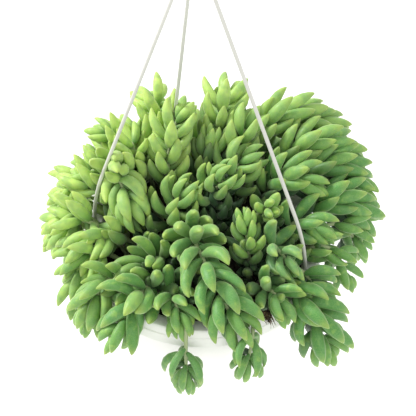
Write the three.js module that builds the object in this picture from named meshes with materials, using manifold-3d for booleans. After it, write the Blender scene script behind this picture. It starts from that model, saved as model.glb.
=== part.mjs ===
// A burro's tail (Sedum morganianum) in a white plastic hanging basket.
// Millimetres, +Z up. The origin is the point of the hook that bears on a rail.
import * as THREE from "three";
import { mergeVertices } from "three/addons/utils/BufferGeometryUtils.js";
import Module from "manifold-3d";

const wasm = await Module();
wasm.setup();

// The hanger
const RIM_DROP = 365; // from the hook's seat down to the top of the pot's lip
const POT_OFFSET = 5; // the pot hangs a little to +X of the hook, pulled by its heavier side
const HOOK_INNER_RADIUS = 11;
const HOOK_ROD_RADIUS = 2.6;
const HUB_TOP = -35;
const HUB_BOTTOM = -45;
const HUB_RADIUS = 8;
const STRAND_RADIUS = 1.6;
const STRAND_TOP_RADIUS = 4.5; // how far from the hub's axis a strand goes in
const STRAND_BEND_UP = 62; // a strand turns upright over this height above its clip
const STRAND_SLOPE_SHARE = 0.45; // where the bend's corner lies in that height
const CLIPS = { left: 168, right: -23, back: 106 }; // degrees round the pot from +X

// The pot, as heights below the top of its lip
const LIP_RADIUS = 102;
const SKIRT_HEIGHT = 21;
const POT_HEIGHT = 118;
const BASE_RADIUS = 66;
const LAND_INNER_RADIUS = 89.5;
const CLIP_CIRCLE = 94.5; // radius of the circle of the clip holes
const CLIP_HOLE_RADIUS = 2.4;
const DRAIN_HOLE_RADIUS = 3.5;
const DRAIN_CIRCLE = 38;
const SOIL_TOP = -10;
const GAP = 0.4;

// The plant
const LEAFY_RADIUS = 15; // half the width of a full leafy stem, at its packed core
const TIP_REACH = 15; // the last leaves reach this far past the end of the stem
const STEM_RADIUS = 2;
const BARE_LENGTH = 16; // the stem is bare for this length above the soil
const ROOM_SHARE = 0.8; // of the room to the pot or a strand, because a stem runs straight between its steps
const LEAST_RADIUS = 1.1;
const SHARE = 0.42; // each of two neighbours takes this share of the distance between them
const BEND_SHARE = 0.75; // a stem stays this much slimmer than the bend that it follows
const STEM_STEPS = 10;
const STEM_SIDES = 8;

// Each leafy stem: where it leaves the soil, the point that pulls it over, and the end of its stem.
// X, Y and Z from the centre of the pot's lip.
const STEMS = {
  back_left_far: [[-22, 46, -8], [-36, 84, 102], [-44, 116, 52]],
  back_left_upper: [[-38, 40, -8], [-54, 66, 84], [-58, 90, 36]],
  back_left_tall: [[-24, 18, -8], [-36, 30, 90], [-18, 70, 84]],
  left_upper_inner: [[-46, 40, -8], [-60, 46, 84], [-60, 58, 60]],
  left_upper: [[-54, 46, -8], [-60, 64, 66], [-84, 76, 54]],
  left_high: [[-64, 26, -8], [-80, 42, 58], [-100, 56, 26]],
  left_middle: [[-64, 14, -8], [-92, 32, 58], [-114, 46, 16]],
  left_long: [[-64, -8, -8], [-100, -2, 56], [-121, 18, -12]],
  left_hanging: [[-72, 2, -8], [-118, 12, 64], [-119, 30, -38]],
  left_arching: [[-34, 30, -8], [-96, 44, 104], [-58, -4, 44]],
  centre_left_bud: [[-26, 4, -8], [-32, -8, 44], [-16, 2, 56]],
  left_front_wide: [[-50, -8, -8], [-86, -12, 56], [-106, -20, -6]],
  left_low: [[-62, -22, -8], [-106, -28, 52], [-104, -36, -40]],
  left_low_front: [[-50, -40, -8], [-86, -62, 44], [-94, -68, -24]],
  front_left_large: [[-30, -44, -8], [-52, -88, 54], [-66, -92, -10]],
  front_left_short: [[-26, -28, -8], [-38, -42, 46], [-58, -58, 16]],
  front_centre_large: [[-8, 14, -8], [-16, -64, 100], [28, -106, 14]],
  front_rim_short: [[-28, -50, -8], [-25, -80, 38], [-18, -98, 10]],
  front_sprig_left: [[-10, -62, -8], [-14, -124, 46], [-13, -112, -42]],
  front_sprig_right: [[38, -60, -8], [46, -124, 38], [38, -112, -26]],
  back_centre_tall: [[10, 50, -8], [14, 80, 104], [26, 112, 62]],
  back_centre_inner: [[2, 34, -8], [4, 38, 60], [8, 54, 66]],
  back_centre_right: [[20, 34, -8], [28, 48, 84], [42, 76, 66]],
  right_back_large: [[30, 52, -8], [40, 84, 108], [112, 102, 32]],
  right_back_second: [[46, 44, -8], [74, 60, 96], [126, 76, 20]],
  right_back_third: [[60, 34, -8], [92, 50, 80], [136, 58, 8]],
  right_middle: [[70, 4, -8], [108, 22, 68], [138, 30, -8]],
  right_hanging: [[70, -10, -8], [126, 10, 50], [134, 20, -36]],
  right_inner: [[44, 24, -8], [56, 26, 76], [90, 22, 46]],
  centre_right_bud: [[28, 18, -8], [12, 22, 70], [38, 34, 64]],
  centre_tuft: [[8, 14, -8], [2, 8, 50], [18, 10, 64]],
  centre_low: [[12, -4, -8], [12, 0, 36], [16, 4, 42]],
  young_front: [[38, -42, -8], [42, -54, 38], [35, -30, 56]],
  young_right: [[50, -10, -8], [50, -4, 46], [56, -18, 60]],
  right_front_inner: [[62, -4, -8], [78, -8, 58], [98, -13, 22]],
  right_low: [[66, -24, -8], [108, -20, 50], [124, -22, -22]],
  right_curled: [[54, -30, -8], [52, -34, 56], [72, -60, 38]],
  right_low_front: [[60, -38, -8], [84, -56, 50], [96, -50, -14]],
  front_right_hang: [[42, -54, -8], [60, -86, 48], [66, -88, 14]],
  front_right_large: [[54, -48, -8], [82, -84, 54], [104, -84, -38]],
  inner_left: [[-46, -12, -8], [-48, -16, 20], [-44, -26, 26]],
  inner_front: [[2, -50, -8], [4, -62, 18], [8, -82, 10]],
  inner_right: [[40, -36, -8], [44, -38, 20], [46, -46, 24]],
  back_hang_1: [[54, 46, -8], [84, 64, 52], [112, 80, -26]],
  back_hang_2: [[36, 54, -8], [60, 90, 60], [76, 112, -28]],
  back_hang_3: [[20, 64, -8], [30, 102, 62], [36, 130, -34]],
  back_hang_4: [[-4, 62, -8], [-6, 104, 60], [-10, 134, -24]],
  back_hang_5: [[-28, 60, -8], [-52, 94, 60], [-58, 122, -36]],
  back_hang_6: [[-46, 54, -8], [-76, 82, 52], [-92, 98, -26]],
  back_hang_7: [[-68, 40, -8], [-102, 58, 44], [-120, 66, -24]],
};
const TUFT = [[44, -66, -6], [52, -88, 16], [57, -91, -2]]; // old roots and moss over the lip
const TUFT_RADIUS = 3.2;

function finish(color, roughness) {
  return new THREE.MeshStandardMaterial({ color, roughness, metalness: 0 });
}

function named(name, geometry, material) {
  const mesh = new THREE.Mesh(geometry, material);
  mesh.name = name;
  return mesh;
}

// Booleans

function toSolid(geometry) {
  const bare = geometry.clone();
  bare.deleteAttribute("normal");
  bare.deleteAttribute("uv");
  const merged = mergeVertices(bare, 1e-4);
  const mesh = new wasm.Mesh({
    numProp: 3,
    vertProperties: new Float32Array(merged.attributes.position.array),
    triVerts: new Uint32Array(merged.index.array),
  });
  return new wasm.Manifold(mesh);
}

function toGeometry(solid) {
  const mesh = solid.getMesh();
  const geometry = new THREE.BufferGeometry();
  geometry.setAttribute("position", new THREE.BufferAttribute(mesh.vertProperties, 3));
  geometry.setIndex(new THREE.BufferAttribute(mesh.triVerts, 1));
  return geometry;
}

// Shapes

// A solid of revolution about Z from [radius, height] pairs that start and end on the axis.
function turned(profile, segments) {
  const points = profile.map(([radius, height]) => new THREE.Vector2(radius, height));
  return new THREE.LatheGeometry(points, segments).rotateX(Math.PI / 2);
}

function circleShape(radius, sides) {
  const points = [];
  for (let i = 0; i < sides; i += 1) {
    const turn = (2 * Math.PI * i) / sides;
    points.push(new THREE.Vector2(radius * Math.cos(turn), radius * Math.sin(turn)));
  }
  return new THREE.Shape(points);
}

function rod(path, radius, sides, steps) {
  return new THREE.ExtrudeGeometry(circleShape(radius, sides), {
    extrudePath: path,
    steps,
    bevelEnabled: false,
  });
}

// A lathe body bent along a curve. Its profile is one radius for each of the curve's frames.
function bentBody(path, radii, sides) {
  const steps = radii.length - 1;
  const frames = path.computeFrenetFrames(steps, false);
  const profile = [new THREE.Vector2(0, 0)];
  radii.forEach((radius, i) => profile.push(new THREE.Vector2(radius, i)));
  profile.push(new THREE.Vector2(0, steps));
  const geometry = new THREE.LatheGeometry(profile, sides);
  const position = geometry.attributes.position;
  const centres = radii.map((_, i) => path.getPointAt(i / steps));
  const point = new THREE.Vector3();
  for (let i = 0; i < position.count; i += 1) {
    const frame = Math.round(position.getY(i));
    point.copy(centres[frame]);
    point.addScaledVector(frames.normals[frame], position.getX(i));
    point.addScaledVector(frames.binormals[frame], -position.getZ(i));
    position.setXYZ(i, point.x, point.y, point.z);
  }
  return geometry;
}

function vector([x, y, z]) {
  return new THREE.Vector3(x, y, z);
}

function around(degrees, radius, z) {
  const turn = THREE.MathUtils.degToRad(degrees);
  return new THREE.Vector3(radius * Math.cos(turn), radius * Math.sin(turn), z);
}

// The pot

const POT_PROFILE = [
  [0, -116],
  [58, -116],
  [60, -POT_HEIGHT],
  [BASE_RADIUS - 1, -POT_HEIGHT],
  [BASE_RADIUS + 1, -115],
  [LAND_INNER_RADIUS - 0.5, -24],
  [LAND_INNER_RADIUS + 0.8, -3],
  [98.5, -3],
  [99.2, -SKIRT_HEIGHT],
  [101, -SKIRT_HEIGHT],
  [101.2, -12],
  [LIP_RADIUS, -11.2],
  [LIP_RADIUS, -9.4],
  [101.2, -8.6],
  [101.4, -2],
  [100.2, 0],
  [LAND_INNER_RADIUS, 0],
  [LAND_INNER_RADIUS - 1.2, -1.5],
  [LAND_INNER_RADIUS - 2.5, -24],
  [BASE_RADIUS - 1, -114],
  [0, -114],
];
const INNER_WALL_TOP = [LAND_INNER_RADIUS - 2.5, -24];
const INNER_WALL_FOOT = [BASE_RADIUS - 1, -114];

function hole(radius, x, y, z, depth) {
  return toSolid(new THREE.CylinderGeometry(radius, radius, depth, 16).rotateX(Math.PI / 2).translate(x, y, z));
}

function potGeometry() {
  let solid = toSolid(turned(POT_PROFILE, 48));
  for (const degrees of Object.values(CLIPS)) {
    const place = around(degrees, CLIP_CIRCLE, -1.5);
    solid = solid.subtract(hole(CLIP_HOLE_RADIUS, place.x, place.y, place.z, 8));
  }
  solid = solid.subtract(hole(DRAIN_HOLE_RADIUS, 0, 0, -115, 12));
  for (let i = 0; i < 6; i += 1) {
    const place = around(60 * i + 30, DRAIN_CIRCLE, -115);
    solid = solid.subtract(hole(DRAIN_HOLE_RADIUS, place.x, place.y, place.z, 12));
  }
  return toGeometry(solid);
}

function soilGeometry() {
  const profile = [
    [0, INNER_WALL_FOOT[1] + GAP],
    [INNER_WALL_FOOT[0] - 2 * GAP, INNER_WALL_FOOT[1] + GAP],
    [INNER_WALL_TOP[0] - GAP, INNER_WALL_TOP[1]],
    [INNER_WALL_TOP[0], SOIL_TOP - 3],
    [INNER_WALL_TOP[0] - 8, SOIL_TOP],
    [0, SOIL_TOP],
  ];
  return turned(profile, 40);
}

// The hanger

function hookGeometry() {
  const centre = -HOOK_INNER_RADIUS;
  const bend = HOOK_INNER_RADIUS + HOOK_ROD_RADIUS;
  const onArc = (degrees) => {
    const turn = THREE.MathUtils.degToRad(degrees);
    return new THREE.Vector3(bend * Math.cos(turn), 0, centre + bend * Math.sin(turn));
  };
  const points = [];
  for (let degrees = -20; degrees <= 240; degrees += 20) {
    points.push(onArc(degrees));
  }
  points.push(new THREE.Vector3(-0.6, 0, centre - bend - 1));
  points.push(new THREE.Vector3(0, 0, centre - bend - 6));
  points.push(new THREE.Vector3(0, 0, HUB_TOP - 2));
  const path = new THREE.CatmullRomCurve3(points);
  const tip = new THREE.SphereGeometry(HOOK_ROD_RADIUS, 12, 8).translate(points[0].x, 0, points[0].z);
  const hub = turned(
    [
      [0, HUB_BOTTOM],
      [HUB_RADIUS - 1, HUB_BOTTOM],
      [HUB_RADIUS, HUB_BOTTOM + 1],
      [HUB_RADIUS, HUB_BOTTOM + 4],
      [HOOK_ROD_RADIUS + 1, HUB_TOP],
      [0, HUB_TOP],
    ],
    24,
  );
  return toGeometry(toSolid(rod(path, HOOK_ROD_RADIUS, 10, 32)).add(toSolid(tip)).add(toSolid(hub)));
}

const CLIP_TOP = 6;

function clipGeometry() {
  const profile = [
    [0, -6.5],
    [2.8, -6],
    [3.3, -3.8],
    [1.8, -3.4],
    [1.8, GAP],
    [4.2, GAP],
    [4.2, 2],
    [2.6, CLIP_TOP],
    [0, CLIP_TOP],
  ];
  return turned(profile, 16);
}

// A strand's route in the pot's frame: straight down from the hub, then bowed upright into its clip.
function strandPath(degrees) {
  const top = around(degrees, STRAND_TOP_RADIUS, RIM_DROP + HUB_BOTTOM - GAP);
  top.x -= POT_OFFSET;
  const foot = around(degrees, CLIP_CIRCLE, CLIP_TOP + GAP);
  const corner = foot.clone();
  corner.z += STRAND_BEND_UP * STRAND_SLOPE_SHARE;
  const start = corner.clone().lerp(top, (STRAND_BEND_UP - corner.z + foot.z) / (top.z - corner.z));
  const path = new THREE.CurvePath();
  path.add(new THREE.LineCurve3(top, start));
  path.add(new THREE.QuadraticBezierCurve3(start, corner, foot));
  return path;
}

// The plant

function stemPath([root, over, end]) {
  const bend = new THREE.QuadraticBezierCurve3(vector(root), vector(over), vector(end));
  const reach = bend.v2.clone().sub(bend.v1).setLength(TIP_REACH).add(bend.v2);
  const path = new THREE.CurvePath();
  path.add(bend);
  path.add(new THREE.LineCurve3(bend.v2, reach));
  return path;
}

function distanceToSegment(point, a, b) {
  const nearest = new THREE.Vector3();
  new THREE.Line3(a, b).closestPointToPoint(point, true, nearest);
  return nearest.distanceTo(point);
}

// How far a point is from the pot, its soil and the clips.
function roomToPot(point) {
  const flat = new THREE.Vector3(Math.hypot(point.x, point.y), 0, point.z);
  let room = flat.x < INNER_WALL_TOP[0] ? flat.z - SOIL_TOP : Infinity;
  for (let i = 1; i < POT_PROFILE.length; i += 1) {
    const [ra, za] = POT_PROFILE[i - 1];
    const [rb, zb] = POT_PROFILE[i];
    room = Math.min(room, distanceToSegment(flat, new THREE.Vector3(ra, 0, za), new THREE.Vector3(rb, 0, zb)));
  }
  for (const degrees of Object.values(CLIPS)) {
    const clip = [around(degrees, CLIP_CIRCLE, 0), around(degrees, CLIP_CIRCLE, CLIP_TOP)];
    room = Math.min(room, distanceToSegment(point, ...clip) - 4.2);
  }
  return ROOM_SHARE * room - GAP;
}

function sampled(path, count) {
  return Array.from({ length: count + 1 }, (_, i) => path.getPointAt(i / count));
}

function nearestOf(point, points) {
  return Math.min(...points.map((other) => other.distanceTo(point)));
}

// The radius of a leafy stem at each step: slim and bare at the soil, full along its leaves, tapered
// at its tip, and always clear of its neighbours, the strands and the pot.
function stemRadii(name, path, lines, strands) {
  const length = path.getLength();
  const radii = [];
  for (let i = 0; i <= STEM_STEPS; i += 1) {
    const share = i / STEM_STEPS;
    const point = path.getPointAt(share);
    const along = share * length;
    const leafy = Math.min(1, Math.max(0, (along - BARE_LENGTH) / 14));
    const taper = Math.sqrt(Math.min(1, (length - along + 3) / 30));
    let radius = (STEM_RADIUS + (LEAFY_RADIUS - STEM_RADIUS) * leafy) * taper;
    for (const [other, points] of Object.entries(lines)) {
      if (other !== name) {
        radius = Math.min(radius, SHARE * nearestOf(point, points));
      }
    }
    for (const points of strands) {
      radius = Math.min(radius, ROOM_SHARE * (nearestOf(point, points) - STRAND_RADIUS) - GAP);
    }
    const turn = path.getTangentAt(Math.max(0, share - 0.04)).angleTo(path.getTangentAt(Math.min(1, share + 0.04)));
    radius = Math.min(radius, (BEND_SHARE * 0.08 * length) / Math.max(turn, 1e-3), roomToPot(point));
    radii.push(Math.max(LEAST_RADIUS, radius));
  }
  return radii;
}

// Assembly

const white = finish(0xf2f2ee, 0.4);
const strandWhite = finish(0xe6e4e0, 0.45);
const brown = finish(0x4a3424, 0.95);
const green = finish(0x86b356, 0.6);

const basket = new THREE.Group();
basket.position.set(POT_OFFSET, 0, -RIM_DROP);
basket.add(named("pot", potGeometry(), white));
basket.add(named("soil", soilGeometry(), finish(0x2c2018, 1)));

const strands = {};
for (const [side, degrees] of Object.entries(CLIPS)) {
  const path = strandPath(degrees);
  strands[side] = sampled(path, 120);
  basket.add(named(`strand_${side}`, rod(path, STRAND_RADIUS, 8, 24), strandWhite.clone()));
  const clip = named(`clip_${side}`, clipGeometry(), white.clone());
  clip.position.copy(around(degrees, CLIP_CIRCLE, 0));
  basket.add(clip);
}

const paths = Object.fromEntries(Object.entries(STEMS).map(([name, points]) => [name, stemPath(points)]));
paths.root_tuft = new THREE.QuadraticBezierCurve3(...TUFT.map(vector));
const lines = Object.fromEntries(Object.entries(paths).map(([name, path]) => [name, sampled(path, 60)]));
for (const [name, path] of Object.entries(paths)) {
  const radii = stemRadii(name, path, lines, Object.values(strands));
  if (name === "root_tuft") {
    const tuft = radii.map((radius) => Math.min(radius, TUFT_RADIUS));
    basket.add(named(name, bentBody(path, tuft, STEM_SIDES), brown));
  } else {
    basket.add(named(`stem_${name}`, bentBody(path, radii, STEM_SIDES), green.clone()));
  }
}

const plant = new THREE.Group();
plant.add(named("hook", hookGeometry(), white.clone()));
plant.add(basket);

export default plant;
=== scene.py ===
"""A burro's tail in a white plastic hanging basket: its looks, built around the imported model.

Lengths in the tables are in millimetres, as in the model's own drawing. MM turns them into metres.
The row's origin is the hook's seat. The plant and its pot are placed from the middle of the lip.
"""

import math

import bpy
import numpy as np
from mathutils import Matrix, Vector, noise


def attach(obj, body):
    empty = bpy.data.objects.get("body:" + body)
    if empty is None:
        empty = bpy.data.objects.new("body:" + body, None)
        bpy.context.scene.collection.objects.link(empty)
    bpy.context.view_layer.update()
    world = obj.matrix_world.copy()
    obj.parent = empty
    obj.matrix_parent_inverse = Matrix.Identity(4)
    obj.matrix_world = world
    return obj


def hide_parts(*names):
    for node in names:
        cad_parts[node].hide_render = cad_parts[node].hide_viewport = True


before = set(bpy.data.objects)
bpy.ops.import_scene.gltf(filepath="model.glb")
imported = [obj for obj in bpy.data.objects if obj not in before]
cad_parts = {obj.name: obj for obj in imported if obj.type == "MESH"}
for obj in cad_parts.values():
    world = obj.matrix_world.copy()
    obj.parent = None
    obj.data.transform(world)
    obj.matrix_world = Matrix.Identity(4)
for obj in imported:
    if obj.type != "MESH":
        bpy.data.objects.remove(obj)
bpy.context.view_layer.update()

MM = 0.001
RIM = np.array([5.0, 0.0, -365.0])  # middle of the lip's top, from the hook's seat
SEED = 7

# How a stem carries its leaves: their full length and width, the step from leaf to leaf along the
# stem, how far a grown leaf stands off the stem in degrees, how small the last leaves are, how much
# a leaf bows as a share of its length, and how young and how blue its green is, from 0 to 1.
FULL = dict(length=31, width=10.8, step=2.9, stand=34, least=0.5, bow=0.14, young=0.0, blue=0.15)
LOOSE = dict(length=30, width=10.2, step=3.4, stand=42, least=0.55, bow=0.12, young=0.05, blue=0.05)
LARGE = dict(length=36, width=12.3, step=3.3, stand=38, least=0.6, bow=0.17, young=0.0, blue=0.1)
SLEEK = dict(length=35, width=11.6, step=3.0, stand=28, least=0.55, bow=0.1, young=0.0, blue=0.1)
HEAD = dict(length=31, width=11.4, step=2.6, stand=32, least=0.6, bow=0.21, young=0.0, blue=0.25)
THIN = dict(length=27, width=9.0, step=4.4, stand=38, least=0.6, bow=0.12, young=0.25, blue=0.1)
BUD = dict(length=32, width=10.2, step=2.5, stand=36, least=0.62, bow=0.26, young=0.1, blue=0.35)
CURLED = dict(length=30, width=10.6, step=3.0, stand=46, least=0.6, bow=0.26, young=0.0, blue=0.7)
YOUNG = dict(length=23, width=9.6, step=2.7, stand=30, least=0.6, bow=0.12, young=0.9, blue=0.0)
ROUND = dict(length=21, width=10.4, step=3.8, stand=50, least=0.75, bow=0.1, young=0.8, blue=0.0)
SPRIG = dict(length=30, width=7.9, step=2.2, stand=30, least=0.8, bow=0.2, young=0.1, blue=0.3)
INNER = dict(length=24, width=9.4, step=3.4, stand=40, least=0.6, bow=0.14, young=0.0, blue=0.6)

# Each stem: where it leaves the soil, the point that pulls it over, where its stem ends, the share
# of its length that is bare, and its habit.
STEMS = {
    "back_left_far": ((-22, 46, -8), (-36, 84, 102), (-44, 116, 52), 0.48, LOOSE),
    "back_left_upper": ((-38, 40, -8), (-54, 66, 84), (-58, 90, 36), 0.4, LOOSE),
    "back_left_tall": ((-24, 18, -8), (-36, 30, 90), (-18, 70, 84), 0.38, FULL),
    "left_upper_inner": ((-46, 40, -8), (-60, 46, 84), (-60, 58, 60), 0.42, LOOSE),
    "left_upper": ((-54, 46, -8), (-60, 64, 66), (-84, 76, 54), 0.35, LOOSE),
    "left_high": ((-64, 26, -8), (-80, 42, 58), (-100, 56, 26), 0.4, LOOSE),
    "left_middle": ((-64, 14, -8), (-92, 32, 58), (-114, 46, 16), 0.17, LOOSE),
    "left_long": ((-64, -8, -8), (-100, -2, 56), (-121, 18, -12), 0.25, LOOSE),
    "left_hanging": ((-72, 2, -8), (-118, 12, 64), (-119, 30, -38), 0.25, LOOSE),
    "left_arching": ((-34, 30, -8), (-96, 44, 104), (-58, -4, 44), 0.45, HEAD),
    "centre_left_bud": ((-26, 4, -8), (-32, -8, 44), (-16, 2, 56), 0.35, BUD),
    "left_front_wide": ((-50, -8, -8), (-86, -12, 56), (-106, -20, -6), 0.3, FULL),
    "left_low": ((-62, -22, -8), (-106, -28, 52), (-104, -36, -40), 0.3, LOOSE),
    "left_low_front": ((-50, -40, -8), (-86, -62, 44), (-94, -68, -24), 0.3, FULL),
    "front_left_large": ((-30, -44, -8), (-52, -88, 54), (-66, -92, -10), 0.3, LARGE),
    "front_left_short": ((-26, -28, -8), (-38, -42, 46), (-58, -58, 16), 0.12, FULL),
    "front_centre_large": ((-8, 14, -8), (-16, -64, 100), (28, -106, 14), 0.3, LARGE),
    "front_rim_short": ((-28, -50, -8), (-25, -80, 38), (-18, -98, 10), 0.15, FULL),
    "front_sprig_left": ((-10, -62, -8), (-14, -124, 46), (-13, -112, -42), 0.66, SPRIG),
    "front_sprig_right": ((38, -60, -8), (46, -124, 38), (38, -112, -26), 0.62, SPRIG),
    "back_centre_tall": ((10, 50, -8), (14, 80, 104), (26, 112, 62), 0.46, FULL),
    "back_centre_inner": ((2, 34, -8), (4, 38, 60), (8, 54, 66), 0.4, FULL),
    "back_centre_right": ((20, 34, -8), (28, 48, 84), (42, 76, 66), 0.45, FULL),
    "right_back_large": ((30, 52, -8), (40, 84, 108), (112, 102, 32), 0.4, SLEEK),
    "right_back_second": ((46, 44, -8), (74, 60, 96), (126, 76, 20), 0.4, SLEEK),
    "right_back_third": ((60, 34, -8), (92, 50, 80), (136, 58, 8), 0.4, SLEEK),
    "right_middle": ((70, 4, -8), (108, 22, 68), (138, 30, -8), 0.35, SLEEK),
    "right_hanging": ((70, -10, -8), (126, 10, 50), (134, 20, -36), 0.4, THIN),
    "right_inner": ((44, 24, -8), (56, 26, 76), (90, 22, 46), 0.3, SLEEK),
    "centre_right_bud": ((28, 18, -8), (12, 22, 70), (38, 34, 64), 0.4, BUD),
    "centre_tuft": ((8, 14, -8), (2, 8, 50), (18, 10, 64), 0.25, BUD),
    "centre_low": ((12, -4, -8), (12, 0, 36), (16, 4, 42), 0.3, CURLED),
    "young_front": ((38, -42, -8), (42, -54, 38), (35, -30, 56), 0.35, YOUNG),
    "young_right": ((50, -10, -8), (50, -4, 46), (56, -18, 60), 0.45, ROUND),
    "right_front_inner": ((62, -4, -8), (78, -8, 58), (98, -13, 22), 0.3, FULL),
    "right_low": ((66, -24, -8), (108, -20, 50), (124, -22, -22), 0.25, THIN),
    "right_curled": ((54, -30, -8), (52, -34, 56), (72, -60, 38), 0.35, CURLED),
    "right_low_front": ((60, -38, -8), (84, -56, 50), (96, -50, -14), 0.2, FULL),
    "front_right_hang": ((42, -54, -8), (60, -86, 48), (66, -88, 14), 0.35, FULL),
    "front_right_large": ((54, -48, -8), (82, -84, 54), (104, -84, -38), 0.38, LARGE),
    "inner_left": ((-46, -12, -8), (-48, -16, 20), (-44, -26, 26), 0.1, INNER),
    "inner_front": ((2, -50, -8), (4, -62, 18), (8, -82, 10), 0.1, INNER),
    "inner_right": ((40, -36, -8), (44, -38, 20), (46, -46, 24), 0.1, INNER),
    "back_hang_1": ((54, 46, -8), (84, 64, 52), (112, 80, -26), 0.3, FULL),
    "back_hang_2": ((36, 54, -8), (60, 90, 60), (76, 112, -28), 0.35, FULL),
    "back_hang_3": ((20, 64, -8), (30, 102, 62), (36, 130, -34), 0.2, FULL),
    "back_hang_4": ((-4, 62, -8), (-6, 104, 60), (-10, 134, -24), 0.2, FULL),
    "back_hang_5": ((-28, 60, -8), (-52, 94, 60), (-58, 122, -36), 0.2, FULL),
    "back_hang_6": ((-46, 54, -8), (-76, 82, 52), (-92, 98, -26), 0.3, FULL),
    "back_hang_7": ((-68, 40, -8), (-102, 58, 44), (-120, 66, -24), 0.3, FULL),
}
# The shares of a sprig's length between which it carries few leaves.
BARE_GAPS = {"front_sprig_left": (0.72, 0.86), "front_sprig_right": (0.68, 0.82)}
NO_GAP = (2, 2)  # past the end of any stem

# The basket. Radii are round the middle of the lip, and heights are from its top.
LIP_RADIUS = 102.0
POT_HEIGHT = 118.0
POT_INSIDE = 88.0
SOIL_TOP = -10.0
CLIP_TURNS = {"left": 168, "right": -23, "back": 106}  # degrees round the lip
CLIP_CIRCLE = 94.5
CLIP_TOP = 6.0
GAP = 0.4  # from a strand's ends to the hub and to its clip
STRAND_RADIUS = 1.6
HUB_BOTTOM = 320.0
HUB_CIRCLE = 4.5  # where the strands leave the hub, round the hook's axis
BEND_START = 62.0  # above a strand's foot, where it starts to bend upright
BEND_CORNER = 27.9  # above its foot, where the lines of its two ends meet

CAMERA_TILT = 47  # degrees that the camera looks down
FROM_ABOVE = math.radians(90 - CAMERA_TILT)
FRONTWARD = np.array([0.0, -math.sin(FROM_ABOVE), math.cos(FROM_ABOVE)])  # towards the camera
KEY_WAY = (-1.0, 0.45, 0.9)  # towards the key light


# Camera


def set_camera():
    """A long lens from the front, looking down on the mound of leaves."""
    elevation = math.radians(CAMERA_TILT)
    distance = 2000.0
    across = 356.5  # the view's width at the lip's middle
    side, lift = 5.1, 28.3  # from the lip's middle to the view's, across and up the view
    back = np.array([0, -math.cos(elevation), math.sin(elevation)])
    up = np.array([0, math.sin(elevation), math.cos(elevation)])
    place = RIM + np.array([side, 0, 0]) + up * lift + back * distance
    data = bpy.data.cameras.new("camera")
    data.lens = data.sensor_width * distance / across
    data.clip_end = 20
    camera = bpy.data.objects.new("camera", data)
    bpy.context.scene.collection.objects.link(camera)
    camera.location = Vector(place * MM)
    camera.rotation_euler = (math.pi / 2 - elevation, 0, 0)
    bpy.context.scene.camera = camera


# Materials


def new_material(name):
    material = bpy.data.materials.new(name)
    material.use_nodes = True
    nodes, links = material.node_tree.nodes, material.node_tree.links
    return material, nodes, links, nodes["Principled BSDF"]


def add(nodes, kind, **settings):
    node = nodes.new(kind)
    for name, value in settings.items():
        setattr(node, name, value)
    return node


def attribute(nodes, name):
    return add(nodes, "ShaderNodeAttribute", attribute_name=name).outputs["Fac"]


MIX_LOW, MIX_HIGH, MIX_RESULT = 6, 7, 2  # where a Mix node has its two colours and their mix


def mixed(nodes, links, share, low, high):
    """A colour mix. Each input is a socket or a plain value."""
    node = add(nodes, "ShaderNodeMix", data_type="RGBA")
    for key, value in (("Factor", share), (MIX_LOW, low), (MIX_HIGH, high)):
        socket = node.inputs[key]
        if isinstance(value, bpy.types.NodeSocket):
            links.new(value, socket)
        else:
            socket.default_value = value
    return node.outputs[MIX_RESULT]


def ramped(nodes, links, value, start, end):
    """A soft ramp between two (value, level) pairs."""
    node = add(nodes, "ShaderNodeMapRange", interpolation_type="SMOOTHSTEP")
    settings = {"From Min": start[0], "To Min": start[1], "From Max": end[0], "To Max": end[1]}
    for name, setting in settings.items():
        node.inputs[name].default_value = setting
    links.new(value, node.inputs["Value"])
    return node.outputs["Result"]


def mottling_group():
    """Noise over the surface, both plain, for a bump, and ramped from Low to High, for a mask."""
    group = bpy.data.node_groups.new("mottling", "ShaderNodeTree")
    for name in ("Scale", "Detail", "Roughness", "Start", "Low", "End", "High"):
        group.interface.new_socket(name=name, in_out="INPUT", socket_type="NodeSocketFloat")
    for name in ("Noise", "Mask"):
        group.interface.new_socket(name=name, in_out="OUTPUT", socket_type="NodeSocketFloat")
    nodes, links = group.nodes, group.links
    given = nodes.new("NodeGroupInput").outputs
    texture = nodes.new("ShaderNodeTexNoise")
    ramp = add(nodes, "ShaderNodeMapRange", interpolation_type="SMOOTHSTEP")
    links.new(nodes.new("ShaderNodeTexCoord").outputs["Object"], texture.inputs["Vector"])
    for name in ("Scale", "Detail", "Roughness"):
        links.new(given[name], texture.inputs[name])
    links.new(texture.outputs["Fac"], ramp.inputs["Value"])
    ramp_inputs = {"Start": "From Min", "Low": "To Min", "End": "From Max", "High": "To Max"}
    for name, setting in ramp_inputs.items():
        links.new(given[name], ramp.inputs[setting])
    result = nodes.new("NodeGroupOutput").inputs
    links.new(texture.outputs["Fac"], result["Noise"])
    links.new(ramp.outputs["Result"], result["Mask"])
    return group


def mottled(nodes, scale, detail, start=(0, 0), end=(1, 1), roughness=0.5):
    """The outputs of a mottling, whose scale is in grains a metre."""
    node = add(nodes, "ShaderNodeGroup", node_tree=MOTTLING)
    settings = {
        "Scale": scale,
        "Detail": detail,
        "Roughness": roughness,
        "Start": start[0],
        "Low": start[1],
        "End": end[0],
        "High": end[1],
    }
    for name, setting in settings.items():
        node.inputs[name].default_value = setting
    return node.outputs


def bumped(nodes, links, shader, height, strength, distance):
    bump = add(nodes, "ShaderNodeBump")
    bump.inputs["Strength"].default_value = strength
    bump.inputs["Distance"].default_value = distance
    links.new(height, bump.inputs["Height"])
    links.new(bump.outputs["Normal"], shader.inputs["Normal"])


MOTTLING = mottling_group()


def rgb(red, green, blue):
    return (red, green, blue, 1.0)


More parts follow.
